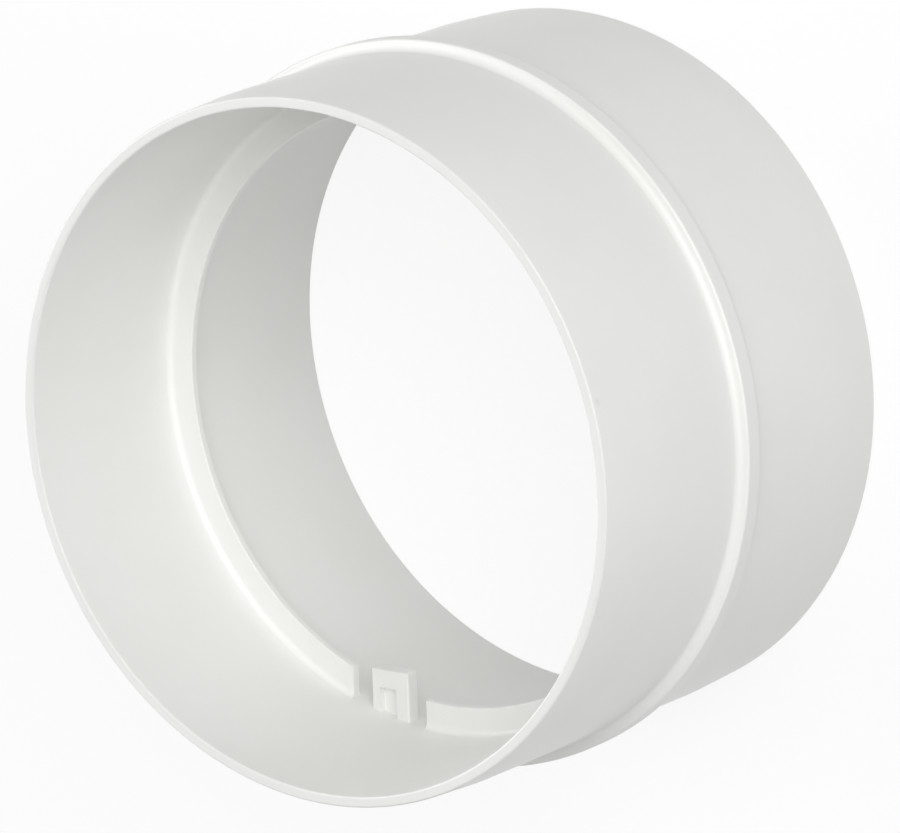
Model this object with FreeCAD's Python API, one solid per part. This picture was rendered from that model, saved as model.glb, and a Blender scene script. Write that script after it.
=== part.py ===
import FreeCAD, Part
import math
import os

Vector = FreeCAD.Vector

# Round duct connector, moulded in one piece. All sizes are in millimetres.
# The axis is Z, the origin is the centre of the lower rim, and the part stands on that rim.

# Spigots: one at each end, and a duct of 100 mm bore slides over either of them
spigot_radius = 49.4
spigot_length = 30.0
lead_in_length = 8.0
lead_in_step = 0.4
rim_wall = 1.5
rim_edge_radius = 0.3

# Bore: narrows from both rims towards the seat ring, so that each half of the mould's core draws out, and
# runs straight for a short way on both sides of the ring
bore_draft = 1.2
waist_land = 1.5

# Stop rib: runs round the middle, and both ducts end against it
rib_width = 3.0
rib_height = 1.6
rib_root_fillet = 1.1
rib_crest_radius = 0.4

# Seat ring: a thin flange inside the bore, measured down from the upper rim
seat_depth = 28.8
seat_width = 4.0
seat_thickness = 1.2
seat_root_fillet = 0.9
seat_under_fillet = 0.5
seat_edge_radius = 0.2

# Clip: stands on the bore wall in a notch of the seat ring, with its sides parallel to Y
clip_offset = 9.9
clip_width = 6.3
clip_stand = 2.4
clip_bar = 2.6
clip_left_leg = 1.5
clip_right_leg = 2.1
clip_depth = 2.4
clip_back = 1.5
clip_edge_radius = 0.3
clip_root_sink = 0.5
notch_side_gap = 3.05

# Sizes that follow from the ones above
overall_length = 2 * spigot_length + rib_width
tip_radius = spigot_radius - lead_in_step
bore_radius = tip_radius - rim_wall
rib_radius = spigot_radius + rib_height
rib_bottom = spigot_length
rib_top = spigot_length + rib_width
waist_radius = bore_radius - bore_draft
seat_radius = waist_radius - seat_width
seat_top = overall_length - seat_depth
seat_bottom = seat_top - seat_thickness
waist_top = seat_top + waist_land
waist_bottom = seat_bottom - waist_land
clip_x = -clip_offset
clip_top_y = clip_stand - math.sqrt(seat_radius**2 - clip_offset**2)
pocket_x = clip_x + (clip_left_leg - clip_right_leg) / 2
pocket_width = clip_width - clip_left_leg - clip_right_leg
pocket_depth = clip_depth - clip_back
notch_width = clip_width + 2 * notch_side_gap


def rounded_face(corners):
    """Face in the XZ plane through corners (x, z, rounding), each rounded to its own radius."""
    points = [Vector(x, 0, z) for x, z, rounding in corners]
    starts = []
    ends = []
    edges = []
    for i, (x, z, rounding) in enumerate(corners):
        to_last = (points[i - 1] - points[i]).normalize()
        to_next = (points[(i + 1) % len(points)] - points[i]).normalize()
        half_angle = to_last.getAngle(to_next) / 2
        setback = rounding / math.tan(half_angle)
        starts.append(points[i] + to_last * setback)
        ends.append(points[i] + to_next * setback)
        if rounding > 0:
            inward = (to_last + to_next).normalize()
            middle = points[i] + inward * (rounding / math.sin(half_angle) - rounding)
            edges.append(Part.Arc(starts[i], middle, ends[i]).toShape())
    for i in range(len(points)):
        edges.append(Part.LineSegment(ends[i - 1], starts[i]).toShape())
    return Part.Face(Part.Wire(Part.__sortEdges__(edges)))


def ring():
    """Both spigots, the stop rib and the whole seat ring, as one turned section."""
    section = rounded_face(
        [
            (bore_radius, 0, rim_edge_radius),
            (tip_radius, 0, rim_edge_radius),
            (spigot_radius, lead_in_length, 0),
            (spigot_radius, rib_bottom, rib_root_fillet),
            (rib_radius, rib_bottom, rib_crest_radius),
            (rib_radius, rib_top, rib_crest_radius),
            (spigot_radius, rib_top, rib_root_fillet),
            (spigot_radius, overall_length - lead_in_length, 0),
            (tip_radius, overall_length, rim_edge_radius),
            (bore_radius, overall_length, rim_edge_radius),
            (waist_radius, waist_top, 0),
            (waist_radius, seat_top, seat_root_fillet),
            (seat_radius, seat_top, seat_edge_radius),
            (seat_radius, seat_bottom, seat_edge_radius),
            (waist_radius, seat_bottom, seat_under_fillet),
            (waist_radius, waist_bottom, 0),
        ]
    )
    return section.revolve(Vector(0, 0, 0), Vector(0, 0, 1), 360)


def upright_block(middle_x, width, top_y, bottom_z, top_z, end_radius):
    """Block from top_y down past the bore wall, and the cylinder about the part's axis that ends it."""
    block = Part.makeBox(
        width,
        top_y + end_radius,
        top_z - bottom_z,
        Vector(middle_x - width / 2, -end_radius, bottom_z),
    )
    round_end = Part.makeCylinder(end_radius, top_z - bottom_z, Vector(0, 0, bottom_z))
    return block, round_end


def notch():
    """Gap in the seat ring, cut square through to the bore wall."""
    block, round_end = upright_block(
        clip_x, notch_width, 0, seat_bottom - seat_under_fillet, seat_top + seat_root_fillet, waist_radius
    )
    return block.common(round_end)


def clip():
    """Upright of the clip, flush with the seat face and rooted in the bore wall."""
    block, round_end = upright_block(
        clip_x, clip_width, clip_top_y, seat_top - clip_depth, seat_top, waist_radius + clip_root_sink
    )
    root_y = block.BoundBox.YMin + clip_edge_radius
    free_edges = [edge for edge in block.Edges if edge.BoundBox.YMax > root_y]
    return block.makeFillet(clip_edge_radius, free_edges).common(round_end)


def pocket():
    """Blind pocket under the clip's bar, between its legs, open to the seat side and to the wall."""
    block, round_end = upright_block(
        pocket_x, pocket_width, clip_top_y - clip_bar, seat_top - pocket_depth, seat_top, waist_radius
    )
    return block.common(round_end)


os.makedirs("parts", exist_ok=True)
connector_body = ring().cut(notch()).fuse(clip()).cut(pocket()).removeSplitter()
connector_body.Solids[0].exportStep("parts/connector_body.step")
print("solids", len(connector_body.Solids), "valid", connector_body.isValid())
print("volume mm3", round(connector_body.Volume, 1), "box", connector_body.optimalBoundingBox())
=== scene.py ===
# %% [markdown]
# # A white duct connector
# Two lengths of round ventilation duct push over the two ends of this moulded sleeve and stop against the
# rib in its middle. The exact solid comes from the CAD model and stays the measure of everything here.
# This lesson makes the sleeve that is seen: a clean mesh on the same sizes, a plastic that looks like
# plastic, a light to see it in, and the camera of the photograph.

# %% Load the CAD model
import math

import bmesh
import bpy
from mathutils import Matrix, Vector


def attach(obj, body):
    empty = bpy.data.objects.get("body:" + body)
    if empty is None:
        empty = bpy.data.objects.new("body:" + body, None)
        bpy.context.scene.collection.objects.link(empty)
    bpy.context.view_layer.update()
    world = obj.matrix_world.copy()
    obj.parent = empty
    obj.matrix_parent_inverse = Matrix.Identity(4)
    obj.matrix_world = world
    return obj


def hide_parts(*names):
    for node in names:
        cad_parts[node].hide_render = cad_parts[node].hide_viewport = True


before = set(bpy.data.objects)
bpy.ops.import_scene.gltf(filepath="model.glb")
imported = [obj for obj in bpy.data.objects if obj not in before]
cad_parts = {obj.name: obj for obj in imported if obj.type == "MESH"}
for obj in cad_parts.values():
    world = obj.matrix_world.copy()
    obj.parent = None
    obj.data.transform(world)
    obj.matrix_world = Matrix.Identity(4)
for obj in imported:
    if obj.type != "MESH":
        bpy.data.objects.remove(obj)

scene = bpy.context.scene
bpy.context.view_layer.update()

# %% [markdown]
# ## The camera
# The photograph is taken from far away through a long lens, so the two rims look almost equally large.
# The part stands on its lower rim here, and lies on its side in the photograph. Turning the part would
# move it out of the frame that all its data share, so the camera rolls instead: it looks down at the
# upper rim from one side, and its own up is turned until the part lies as it does in the picture.

# %% Place the camera
SENSOR_WIDTH_MM = 36.0
LENS_MM = 402.64
AIM_POINT = Vector((0.000205, -0.001834, 0.0315))
CAMERA_DISTANCE = 1.37711
AZIMUTH = math.radians(113.031)
ELEVATION = math.radians(50.773)
ROLL = math.radians(-110.351)

towards_camera = Vector(
    (
        math.sin(AZIMUTH) * math.cos(ELEVATION),
        -math.cos(AZIMUTH) * math.cos(ELEVATION),
        math.sin(ELEVATION),
    )
)
standpoint = Matrix.Translation(AIM_POINT + CAMERA_DISTANCE * towards_camera)
level_turn = (-towards_camera).to_track_quat("-Z", "Y").to_matrix().to_4x4()
camera_data = bpy.data.cameras.new("photo_camera")
camera_data.sensor_width = SENSOR_WIDTH_MM
camera_data.lens = LENS_MM
camera = bpy.data.objects.new("photo_camera", camera_data)
camera.matrix_world = standpoint @ level_turn @ Matrix.Rotation(ROLL, 4, "Z")
scene.collection.objects.link(camera)
scene.camera = camera
print("camera at", [round(c, 4) for c in camera.matrix_world.translation])

# %% [markdown]
# ## The sizes
# These are the sizes of the moulding in millimetres, named much as the CAD model names them. Only the
# ones that can be set by themselves are written as numbers. The others follow from them, so that the
# sleeve stays in one piece when a size changes.

# %% Set the sizes of the section
MM = 0.001
SPIGOT_RADIUS = 49.4
SPIGOT_LENGTH = 30.0
LEAD_IN = 8.0
LEAD_IN_STEP = 0.4
RIM_WALL = 1.5
RIM_EDGE_RADIUS = 0.3
BORE_DRAFT = 1.2
WAIST_LAND = 1.5
RIB_WIDTH = 3.0
RIB_HEIGHT = 1.6
RIB_ROOT_FILLET = 1.1
RIB_CREST_RADIUS = 0.4
SEAT_DEPTH = 28.8
SEAT_WIDTH = 4.0
SEAT_THICKNESS = 1.2
SEAT_ROOT_FILLET = 0.9
SEAT_UNDER_FILLET = 0.5
SEAT_EDGE_RADIUS = 0.2

TIP_RADIUS = SPIGOT_RADIUS - LEAD_IN_STEP
BORE_RADIUS = TIP_RADIUS - RIM_WALL
WAIST_RADIUS = BORE_RADIUS - BORE_DRAFT
SEAT_RADIUS = WAIST_RADIUS - SEAT_WIDTH
RIB_RADIUS = SPIGOT_RADIUS + RIB_HEIGHT
RIB_BOTTOM = SPIGOT_LENGTH
RIB_TOP = RIB_BOTTOM + RIB_WIDTH
LENGTH = RIB_TOP + SPIGOT_LENGTH
SEAT_TOP = LENGTH - SEAT_DEPTH
SEAT_BOTTOM = SEAT_TOP - SEAT_THICKNESS
WAIST_TOP = SEAT_TOP + WAIST_LAND
WAIST_BOTTOM = SEAT_BOTTOM - WAIST_LAND
print("sleeve", round(LENGTH, 2), "mm long,", round(2 * RIB_RADIUS, 2), "mm across the rib")

# %% [markdown]
# ## The wall section
# A round moulding is easiest to think of as a flat section, carried once round an axis. The section here
# is a thin wall with a rib outside and a thin shelf inside, the seat ring. Every corner of a moulding is
# a little round, and those small radii are what catches the light, so each corner is written with its own
# radius and number of steps, and a helper puts the arc in. A bevel would do the same, but with one width
# for all corners.

# %% Draw the section
EDGE_STEPS = 4
CREST_STEPS = 5
UNDER_STEPS = 6
ROOT_STEPS = 8


def rounded_section(corners):
    """Points (radius, height) round the section, and where each corner's own points start in that list."""
    points = []
    starts = []
    for i, (radius, height, rounding, steps) in enumerate(corners):
        starts.append(len(points))
        corner = Vector((radius, height))
        if not rounding:
            points.append(corner)
            continue
        to_last = (Vector(corners[i - 1][:2]) - corner).normalized()
        to_next = (Vector(corners[(i + 1) % len(corners)][:2]) - corner).normalized()
        half = to_last.angle(to_next) / 2
        centre = corner + (to_last + to_next).normalized() * rounding / math.sin(half)
        spoke = corner + to_last * rounding / math.tan(half) - centre
        turn = (math.pi - 2 * half) * (1 if to_last.cross(to_next) < 0 else -1)
        points += [centre + Matrix.Rotation(turn * k / steps, 2) @ spoke for k in range(steps + 1)]
    return points, starts


seat_root = (WAIST_RADIUS, SEAT_TOP, SEAT_ROOT_FILLET, ROOT_STEPS)
corners = [
    (BORE_RADIUS, 0, RIM_EDGE_RADIUS, EDGE_STEPS),
    (TIP_RADIUS, 0, RIM_EDGE_RADIUS, EDGE_STEPS),
    (SPIGOT_RADIUS, LEAD_IN, 0, 0),
    (SPIGOT_RADIUS, RIB_BOTTOM, RIB_ROOT_FILLET, ROOT_STEPS),
    (RIB_RADIUS, RIB_BOTTOM, RIB_CREST_RADIUS, CREST_STEPS),
    (RIB_RADIUS, RIB_TOP, RIB_CREST_RADIUS, CREST_STEPS),
    (SPIGOT_RADIUS, RIB_TOP, RIB_ROOT_FILLET, ROOT_STEPS),
    (SPIGOT_RADIUS, LENGTH - LEAD_IN, 0, 0),
    (TIP_RADIUS, LENGTH, RIM_EDGE_RADIUS, EDGE_STEPS),
    (BORE_RADIUS, LENGTH, RIM_EDGE_RADIUS, EDGE_STEPS),
    (WAIST_RADIUS, WAIST_TOP, 0, 0),
    seat_root,
    (SEAT_RADIUS, SEAT_TOP, SEAT_EDGE_RADIUS, EDGE_STEPS),
    (SEAT_RADIUS, SEAT_BOTTOM, SEAT_EDGE_RADIUS, EDGE_STEPS),
    (WAIST_RADIUS, SEAT_BOTTOM, SEAT_UNDER_FILLET, UNDER_STEPS),
    (WAIST_RADIUS, WAIST_BOTTOM, 0, 0),
]
section, corner_starts = rounded_section(corners)
# The last corner is one plain point of the wall, so the seat ring ends at the point before it
seat_first = corner_starts[corners.index(seat_root)]
seat_last = len(section) - 2
print("section:", len(section), "points,", seat_last - seat_first + 1, "of them on the seat ring")

# %% [markdown]
# ## Turning the section
# Blender has a Screw modifier for turned shapes, but the seat ring has a notch for the clip, and the
# sides of that notch are parallel, not radial. So the columns of the mesh are placed one by one. Where the
# seat ring runs, every column carries the whole section, and its angle shifts slightly with the radius so
# that the first and the last column lie flat against the notch. Inside the notch, the columns carry the
# plain wall alone.

# %% Turn the ring
CLIP_X = -9.9
CLIP_WIDTH = 6.3
NOTCH_SIDE_GAP = 3.05
CLIP_LEFT = CLIP_X - CLIP_WIDTH / 2
CLIP_RIGHT = CLIP_X + CLIP_WIDTH / 2
NOTCH_LEFT = CLIP_LEFT - NOTCH_SIDE_GAP
NOTCH_RIGHT = CLIP_RIGHT + NOTCH_SIDE_GAP
SEAT_COLUMNS = 246
NOTCH_COLUMNS = 12


def angle_below(x, radius):
    """Angle from +X, on the -Y side, at which a circle of this radius crosses this x."""
    return -math.acos(x / min(radius, WAIST_RADIUS))


def add_column(mesh, indices, share, notch):
    """One column of section points, at this share of the way round the seat ring or across the notch."""
    column = {}
    for i in indices:
        radius, height = section[i]
        left = angle_below(NOTCH_LEFT, radius)
        right = angle_below(NOTCH_RIGHT, radius)
        angle = left + (right - left) * share if notch else right + (left + math.tau - right) * share
        place = Vector((radius * math.cos(angle), radius * math.sin(angle), height))
        column[i] = mesh.verts.new(place * MM)
    return column


def join_columns(mesh, here, there, indices):
    """A strip of four-sided faces between two columns, all the way round the section."""
    for i, j in zip(indices, indices[1:] + indices[:1]):
        mesh.faces.new((here[i], there[i], there[j], here[j]))


whole = list(range(len(section)))
plain_wall = whole[: seat_first + 1] + whole[seat_last:]
ring = bmesh.new()
seat_columns = [add_column(ring, whole, k / SEAT_COLUMNS, False) for k in range(SEAT_COLUMNS + 1)]
notch_columns = [add_column(ring, plain_wall, k / NOTCH_COLUMNS, True) for k in range(1, NOTCH_COLUMNS)]
for here, there in zip(seat_columns, seat_columns[1:]):
    join_columns(ring, here, there, whole)
across_notch = [seat_columns[-1], *notch_columns, seat_columns[0]]
for here, there in zip(across_notch, across_notch[1:]):
    join_columns(ring, here, there, plain_wall)
for end in (seat_columns[0], seat_columns[-1]):
    ring.faces.new([end[i] for i in whole[seat_first : seat_last + 1]])
bmesh.ops.recalc_face_normals(ring, faces=ring.faces)
sleeve = bpy.data.objects.new("connector_sleeve", bpy.data.meshes.new("connector_sleeve"))
ring.to_mesh(sleeve.data)
ring_mm3 = round(ring.calc_volume() / MM**3)
print("ring:", len(ring.verts), "points,", len(ring.faces), "faces,", ring_mm3, "mm3")
ring.free()
scene.collection.objects.link(sleeve)

# %% [markdown]
# ## The clip
# A small block stands on the bore wall in the middle of the notch. Its front is flush with the seat ring,
# and a pocket leaves it a bar on two legs. Its outline could be drawn and extruded, but then its edges
# would stay sharp. So it is made as a block with rounded edges, and a second block cuts the pocket.

# %% Shape the clip
CLIP_STAND = 2.4
CLIP_BAR = 2.6
CLIP_LEFT_LEG = 1.5
CLIP_RIGHT_LEG = 2.1
CLIP_DEPTH = 2.4
CLIP_BACK = 1.5
CLIP_EDGE_RADIUS = 0.3
CLIP_WELD_DEPTH = 0.3
CUT_OVER = 1.0
clip_bottom_y = -(WAIST_RADIUS + CLIP_WELD_DEPTH)
clip_top_y = CLIP_STAND - math.sqrt(SEAT_RADIUS**2 - CLIP_X**2)
clip_back_z = SEAT_TOP - CLIP_DEPTH


def block(name, low, high, edge_radius):
    """Block between two corners in millimetres, with all but its lowest edges in Y rounded."""
    mesh = bmesh.new()
    bmesh.ops.create_cube(mesh, size=1.0)
    size = Vector(high) - Vector(low)
    middle = (Vector(high) + Vector(low)) / 2
    to_size = Matrix.Translation(middle) @ Matrix.Diagonal(size).to_4x4()
    bmesh.ops.transform(mesh, matrix=to_size, verts=mesh.verts)
    free_edges = [e for e in mesh.edges if max(v.co.y for v in e.verts) > middle.y]
    if edge_radius:
        bmesh.ops.bevel(
            mesh, geom=free_edges, offset=edge_radius, segments=EDGE_STEPS, profile=0.5, affect="EDGES"
        )
    bmesh.ops.scale(mesh, vec=(MM, MM, MM), verts=mesh.verts)
    made = bpy.data.objects.new(name, bpy.data.meshes.new(name))
    mesh.to_mesh(made.data)
    mesh.free()
    scene.collection.objects.link(made)
    return made


def combine(target, tool, operation):
    """Adds the tool to the target or cuts it out, keeps the result as plain mesh and removes the tool."""
    step = target.modifiers.new("combine", "BOOLEAN")
    step.operation = operation
    step.solver = "EXACT"
    step.object = tool
    result = bpy.data.meshes.new_from_object(target.evaluated_get(bpy.context.evaluated_depsgraph_get()))
    target.modifiers.clear()
    target.data = result
    bpy.data.objects.remove(tool)


clip = block(
    "clip",
    (CLIP_LEFT, clip_bottom_y, clip_back_z),
    (CLIP_RIGHT, clip_top_y, SEAT_TOP),
    CLIP_EDGE_RADIUS,
)
pocket = block(
    "pocket",
    (CLIP_LEFT + CLIP_LEFT_LEG, clip_bottom_y - CUT_OVER, clip_back_z + CLIP_BACK),
    (CLIP_RIGHT - CLIP_RIGHT_LEG, clip_top_y - CLIP_BAR, SEAT_TOP + CUT_OVER),
    0,
)
combine(clip, pocket, "DIFFERENCE")
print("clip:", len(clip.data.polygons), "faces, top at y", round(clip_top_y, 2), "mm")

# %% [markdown]
# ## One skin
# On the real sleeve the clip and the ring are one moulding. The clip could simply be left standing in the
# wall, but hidden faces would stay inside. A Boolean union takes them away, and counting the open edges
# shows that the result is one closed skin.

# %% Weld the clip to the ring
combine(sleeve, clip, "UNION")
welded = bmesh.new()
welded.from_mesh(sleeve.data)
open_edges = sum(not e.is_manifold for e in welded.edges)
welded_mm3 = round(welded.calc_volume() / MM**3)
print("sleeve:", len(welded.faces), "faces,", welded_mm3, "mm3,", open_edges, "open edges")
welded.free()

# %% [markdown]
# ## Soft edges, flat faces
# Smooth shading alone would bend the light over the flat faces next to the small radii. Edges above a set
# angle are marked sharp, and a Weighted Normal modifier lets the large faces decide the shading at their
# borders.

# %% Shade the sleeve
SHARP_ANGLE = math.radians(32)

sleeve.data.shade_smooth()
sleeve.data.set_sharp_from_angle(angle=SHARP_ANGLE)
even_shading = sleeve.modifiers.new("even_shading", "WEIGHTED_NORMAL")
even_shading.keep_sharp = True
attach(sleeve, "root")
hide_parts("connector_body")
print("sleeve:", sum(e.use_edge_sharp for e in sleeve.data.edges), "sharp edges")

# %% [markdown]
# ## The plastic
# The sleeve is injection-moulded from white plastic with a satin skin. Such a skin is never one flat
# colour, because the pigment is a touch cloudy. A painted image could show that, but a noise in the
# part's own space needs no unwrapping and has no seam. It stays faint.

# %% Mix the pigment
NOISE_LOW = 0.30
NOISE_HIGH = 0.70
CLOUDS_PER_METRE = 45.0
PIGMENT_DARK = (0.872, 0.875, 0.850, 1)
PIGMENT_LIGHT = (0.900, 0.903, 0.884, 1)

plastic = bpy.data.materials.new("white_moulded_plastic")
plastic.use_nodes = True
nodes = plastic.node_tree.nodes
links = plastic.node_tree.links
nodes.clear()
place = nodes.new("ShaderNodeTexCoord")
skin = nodes.new("ShaderNodeBsdfPrincipled")
plastic_output = nodes.new("ShaderNodeOutputMaterial")
links.new(skin.outputs["BSDF"], plastic_output.inputs["Surface"])


def set_inputs(node, values):
    """Sets the named sockets of a node."""
    for name, value in values.items():
        node.inputs[name].default_value = value


def noise_over_part(cells_per_metre, detail, roughness):
    """Noise in the part's own space."""
    noise = nodes.new("ShaderNodeTexNoise")
    set_inputs(noise, {"Scale": cells_per_metre, "Detail": detail, "Roughness": roughness})
    links.new(place.outputs["Object"], noise.inputs["Vector"])
    return noise.outputs["Fac"]


pigment = nodes.new("ShaderNodeValToRGB")
cloudy, clear = pigment.color_ramp.elements
cloudy.position = NOISE_LOW
cloudy.color = PIGMENT_DARK
clear.position = NOISE_HIGH
clear.color = PIGMENT_LIGHT
links.new(noise_over_part(CLOUDS_PER_METRE, detail=3.0, roughness=0.5), pigment.inputs["Fac"])
print("pigment from", *[round(e.color[1], 3) for e in pigment.color_ramp.elements])

# %% [markdown]
# ## One small mark
# The photographed sleeve is clean but for a faint grey fleck, about a millimetre wide, on the outside
# just below the upper rim. A painted image would be much for so little: the distance to one point, turned
# into a soft edge, lowers the pigment's share there.

# %% Add the fleck
FLECK_PLACE = (0.04738, 0.01285, 0.0619)
FLECK_RADIUS = 0.0008
FLECK_SHARE = 0.93

to_fleck = nodes.new("ShaderNodeVectorMath")
to_fleck.operation = "DISTANCE"
links.new(place.outputs["Object"], to_fleck.inputs[0])
to_fleck.inputs[1].default_value = FLECK_PLACE
soft_edge = nodes.new("ShaderNodeMapRange")
soft_edge.interpolation_type = "SMOOTHSTEP"
set_inputs(soft_edge, {"From Min": 0.0, "From Max": FLECK_RADIUS, "To Min": FLECK_SHARE, "To Max": 1.0})
links.new(to_fleck.outputs["Value"], soft_edge.inputs["Value"])
flecked = nodes.new("ShaderNodeVectorMath")
flecked.operation = "SCALE"
links.new(pigment.outputs["Color"], flecked.inputs[0])
links.new(soft_edge.outputs["Result"], flecked.inputs["Scale"])
links.new(flecked.outputs["Vector"], skin.inputs["Base Color"])
print("fleck fades out", round(FLECK_RADIUS / MM, 1), "mm from its middle")

# %% [markdown]
# ## The satin skin
# The gloss of a moulding changes a little from place to place, and its surface has a very shallow orange
# peel. Modelling the peel would take millions of faces. A second noise varies the roughness instead, and
# a third one, much finer, tilts the shading through a Bump node.

# %% Give the skin its gloss
GLOSS_PATCHES_PER_METRE = 120.0
ROUGHNESS_LOW = 0.30
ROUGHNESS_HIGH = 0.38
PEEL_PER_METRE = 900.0
PEEL_HEIGHT = 0.00002
PEEL_STRENGTH = 0.25
PLASTIC_IOR = 1.5

gloss = nodes.new("ShaderNodeMapRange")
set_inputs(
    gloss,
    {"From Min": NOISE_LOW, "From Max": NOISE_HIGH, "To Min": ROUGHNESS_LOW, "To Max": ROUGHNESS_HIGH},
)
links.new(noise_over_part(GLOSS_PATCHES_PER_METRE, detail=4.0, roughness=0.6), gloss.inputs["Value"])
links.new(gloss.outputs["Result"], skin.inputs["Roughness"])

orange_peel = nodes.new("ShaderNodeBump")
set_inputs(orange_peel, {"Strength": PEEL_STRENGTH, "Distance": PEEL_HEIGHT})
links.new(noise_over_part(PEEL_PER_METRE, detail=2.0, roughness=0.5), orange_peel.inputs["Height"])
links.new(orange_peel.outputs["Normal"], skin.inputs["Normal"])
set_inputs(skin, {"IOR": PLASTIC_IOR})

sleeve.data.materials.clear()
sleeve.data.materials.append(plastic)
print("plastic:", len(nodes), "nodes on", sleeve.name)

# %% [markdown]
# ## The floor
# A product picture of a white part needs a white ground that is still a ground. The floor is a wide disc
# like a photographer's light table: matt, and lit a little from below. To the camera, most of its colour
# is plain white of strength 1 and the rest is shaded paint, so that the shadow of the part stays visible
# but light. To the part, it is a darker paint with a faint glow. The glow reaches the lower half of the
# bore, which no lamp above can.

# %% Lay the floor
WHITE = (1.0, 1.0, 1.0, 1.0)
FLOOR_RADIUS = 8.0
PAINT_TO_PART = (0.30, 0.30, 0.30, 1.0)
TABLE_GLOW = 0.20
SHADED_SHARE = 0.15
FLOOR_SIDES = 96

bpy.ops.mesh.primitive_circle_add(vertices=FLOOR_SIDES, radius=FLOOR_RADIUS, fill_type="NGON")
floor = bpy.context.object
floor.name = "floor"
print("floor: radius", FLOOR_RADIUS, "m")


def seen_directly(nodes, links):
    """Socket that is 1 for rays of the camera, a mirror or through glass, and 0 for light on the part."""
    path = nodes.new("ShaderNodeLightPath")
    mirrored = nodes.new("ShaderNodeMath")
    mirrored.operation = "MAXIMUM"
    links.new(path.outputs["Is Camera Ray"], mirrored.inputs[0])
    links.new(path.outputs["Is Glossy Ray"], mirrored.inputs[1])
    any_view = nodes.new("ShaderNodeMath")
    any_view.operation = "MAXIMUM"
    links.new(mirrored.outputs[0], any_view.inputs[0])
    links.new(path.outputs["Is Transmission Ray"], any_view.inputs[1])
    return any_view.outputs[0]


# %% Paint the floor
floor_paint = bpy.data.materials.new("floor_paint")
floor_paint.use_nodes = True
nodes = floor_paint.node_tree.nodes
links = floor_paint.node_tree.links
nodes.clear()
to_part = nodes.new("ShaderNodeBsdfDiffuse")
set_inputs(to_part, {"Color": PAINT_TO_PART})
glow = nodes.new("ShaderNodeEmission")
set_inputs(glow, {"Color": WHITE, "Strength": TABLE_GLOW})
table = nodes.new("ShaderNodeAddShader")
links.new(to_part.outputs[0], table.inputs[0])
links.new(glow.outputs[0], table.inputs[1])
shaded = nodes.new("ShaderNodeBsdfDiffuse")
set_inputs(shaded, {"Color": WHITE})
plain_white = nodes.new("ShaderNodeEmission")
set_inputs(plain_white, {"Color": WHITE, "Strength": 1.0})
to_camera = nodes.new("ShaderNodeMixShader")
set_inputs(to_camera, {"Fac": SHADED_SHARE})
links.new(plain_white.outputs[0], to_camera.inputs[1])
links.new(shaded.outputs[0], to_camera.inputs[2])
paint = nodes.new("ShaderNodeMixShader")
links.new(seen_directly(nodes, links), paint.inputs["Fac"])
links.new(table.outputs[0], paint.inputs[1])
links.new(to_camera.outputs[0], paint.inputs[2])
ground = nodes.new("ShaderNodeOutputMaterial")
links.new(paint.outputs[0], ground.inputs["Surface"])
floor.data.materials.append(floor_paint)
print("floor paint:", len(nodes), "nodes")

# %% [markdown]
# ## The room's light
# Moulded white plastic shows its form only through gentle shading, so the light is broad. A single lamp
# would leave half of the bore dark. A dim, even room gives the base, and to the camera and in reflections
# the same room is a plain white backdrop.

# %% Light the room
ROOM_LIGHT = 0.20

room = bpy.data.worlds.new("room")
scene.world = room
room.use_nodes = True
nodes = room.node_tree.nodes
links = room.node_tree.links
nodes.clear()
even_light = nodes.new("ShaderNodeBackground")
set_inputs(even_light, {"Color": WHITE, "Strength": ROOM_LIGHT})
backdrop = nodes.new("ShaderNodeBackground")
set_inputs(backdrop, {"Color": WHITE, "Strength": 1.0})
either = nodes.new("ShaderNodeMixShader")
links.new(seen_directly(nodes, links), either.inputs["Fac"])
links.new(even_light.outputs[0], either.inputs[1])
links.new(backdrop.outputs[0], either.inputs[2])
room_output = nodes.new("ShaderNodeOutputWorld")
links.new(either.outputs[0], room_output.inputs["Surface"])
print("room light", ROOM_LIGHT)

# %% [markdown]
# ## The soft panels
# Four round soft panels give the form. Two of them stand on the camera's side, and the faces that look
# along the axis, the seat ring and the flank of the rib, turn most towards them and come out brightest. A
# weak one lightens the underside of the picture. One behind the part shines into the bore, where the
# walls pass its light on. It hangs low, so that the flat rim doesn't mirror it to the camera.

# %% Hang the soft panels
PANEL_DISTANCE = 1.3
PANEL_SIZE = 1.1


def hang_panel(name, direction, power):
    """Round soft light that faces the part from this direction."""
    data = bpy.data.lights.new(name, "AREA")
    data.shape = "DISK"
    data.size = PANEL_SIZE
    data.energy = power
    panel = bpy.data.objects.new(name, data)
    away = Vector(direction).normalized()
    panel.location = AIM_POINT + PANEL_DISTANCE * away
    panel.rotation_euler = away.to_track_quat("Z", "Y").to_euler()
    scene.collection.objects.link(panel)
    print(name, "at", [round(c, 3) for c in panel.location])


hang_panel("front_panel", direction=(0.45, 0.45, 0.77), power=6.8)
hang_panel("side_panel", direction=(0.75, 0.25, 0.60), power=6.7)
hang_panel("low_panel", direction=(0.45, -0.88, 0.05), power=3.0)
hang_panel("back_panel", direction=(-0.90, 0.10, 0.42), power=10.0)

# %% [markdown]
# ## Finish
# The picture is shown through the Standard view transform.

# %% Finish
scene.view_settings.view_transform = "Standard"
